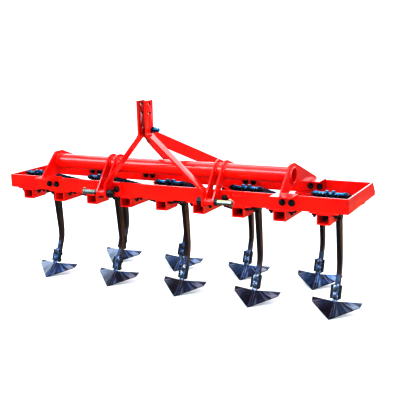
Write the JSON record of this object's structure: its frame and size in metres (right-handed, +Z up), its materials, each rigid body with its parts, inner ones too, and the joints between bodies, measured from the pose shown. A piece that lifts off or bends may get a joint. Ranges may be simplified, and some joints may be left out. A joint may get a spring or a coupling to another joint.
{
  "type": "field cultivator",
  "caption": "Three-point mounted field cultivator: a rectangular red frame with a cross pipe and mast, rigid tines in two rows and duck-foot sweeps.",
  "frame": {"origin": "on the ground under the middle of the whole implement's box", "axes": "+X along the frame, -Y towards the tractor, +Z up"},
  "size_m": [1.914, 0.9087, 1.035],
  "materials": {
    "red_paint": "glossy red enamel",
    "tine_steel": "dark brown-black paint, a little worn",
    "sweep_steel": "blue-black hardened steel",
    "black_bolt": "black oxide steel",
    "zinc": "bright zinc plate, slightly yellow"
  },
  "bodies": {
    "root": {"frame_front_beam": "red_paint", "frame_rear_beam": "red_paint", "frame_end_plate_left": "red_paint", "frame_end_plate_right": "red_paint", "tine_tube_1": "red_paint", "tine_tube_2": "red_paint", "tine_tube_3": "red_paint", "tine_tube_4": "red_paint", "tine_tube_5": "red_paint", "tine_tube_6": "red_paint", "tine_tube_7": "red_paint", "tine_tube_8": "red_paint", "tine_tube_9": "red_paint", "cross_pipe": "red_paint", "pipe_bracket_left": "red_paint", "pipe_bracket_right": "red_paint", "hitch_left": "red_paint", "hitch_right": "red_paint", "mast_bar_left": "red_paint", "mast_bar_right": "red_paint", "rear_stay_left": "red_paint", "rear_stay_right": "red_paint", "tine_1": "tine_steel", "tine_2": "tine_steel", "tine_3": "tine_steel", "tine_4": "tine_steel", "tine_5": "tine_steel", "tine_6": "tine_steel", "tine_7": "tine_steel", "tine_8": "tine_steel", "tine_9": "tine_steel", "sweep_1": "sweep_steel", "sweep_2": "sweep_steel", "sweep_3": "sweep_steel", "sweep_4": "sweep_steel", "sweep_5": "sweep_steel", "sweep_6": "sweep_steel", "sweep_7": "sweep_steel", "sweep_8": "sweep_steel", "sweep_9": "sweep_steel", "link_pin_left": "zinc", "link_pin_right": "zinc", "mast_bolt": "black_bolt"}
  },
  "joints": []
}
